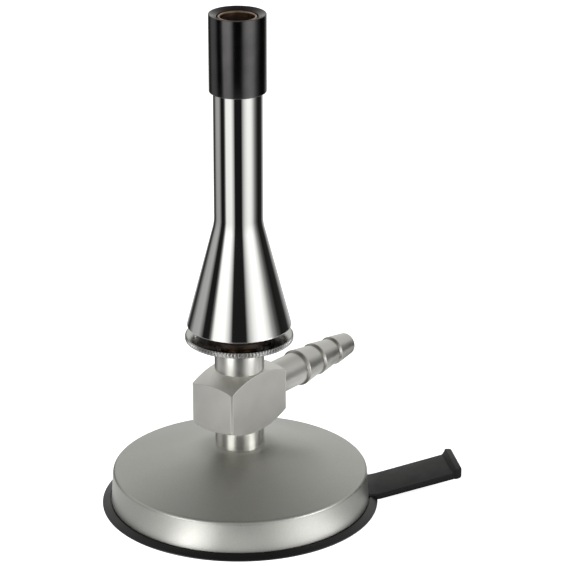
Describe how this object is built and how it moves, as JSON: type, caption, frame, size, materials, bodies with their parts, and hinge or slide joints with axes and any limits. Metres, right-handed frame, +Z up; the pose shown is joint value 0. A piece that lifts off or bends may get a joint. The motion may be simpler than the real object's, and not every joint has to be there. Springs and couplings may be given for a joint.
{
  "type": "bunsen burner",
  "caption": "Laboratory gas burner: barbed hose nozzle, knurled air disc under a chromed mixing tube with a conical foot, black flame head, heavy conical base and a foot ring with handle.",
  "frame": {"origin": "on the burner's vertical axis, at the level it stands on", "axes": "+Z up along the mixing tube, +X out along the hose nozzle"},
  "size_m": [0.0992, 0.0939, 0.1568],
  "materials": {
    "black_plastic": "moulded, fine satin",
    "grey_paint": "satin metallic grey paint",
    "zinc_steel": "zinc plated",
    "satin_nickel": "satin nickel plate",
    "sealing_fibre": "pressed fibre",
    "brass": "turned",
    "chrome": "polished chrome plate",
    "black_finish": "black, semi gloss"
  },
  "bodies": {
    "burner": {"foot_ring": "black_plastic", "base_disc": "grey_paint", "base_screw": "zinc_steel", "base_washer": "zinc_steel", "burner_body": "satin_nickel", "hose_nozzle": "satin_nickel", "nozzle_seal": "sealing_fibre", "stem": "brass", "stem_seal": "sealing_fibre", "gas_jet": "brass", "jet_seal": "sealing_fibre", "tube_spider": "brass", "mixing_tube": "chrome", "burner_head": "black_finish", "mouth_ring": "brass"},
    "bush": {"disc_bush": "brass"},
    "air_disc": {"air_disc": "chrome"}
  },
  "joints": [
    {"name": "air_disc_travel", "type": "slide", "parent": "burner", "child": "bush", "axis": [0, 0, 1], "range_m": [-0.0015, 0.0025]},
    {"name": "air_disc_turn", "type": "hinge", "parent": "bush", "child": "air_disc", "pos_m": [0, 0, 0.0552], "axis": [0, 0, 1], "range_deg": [-360, 600]}
  ],
  "couplings": [
    {"joint": "air_disc_travel", "follows": "air_disc_turn", "m_per_rad": 0.00023873}
  ]
}
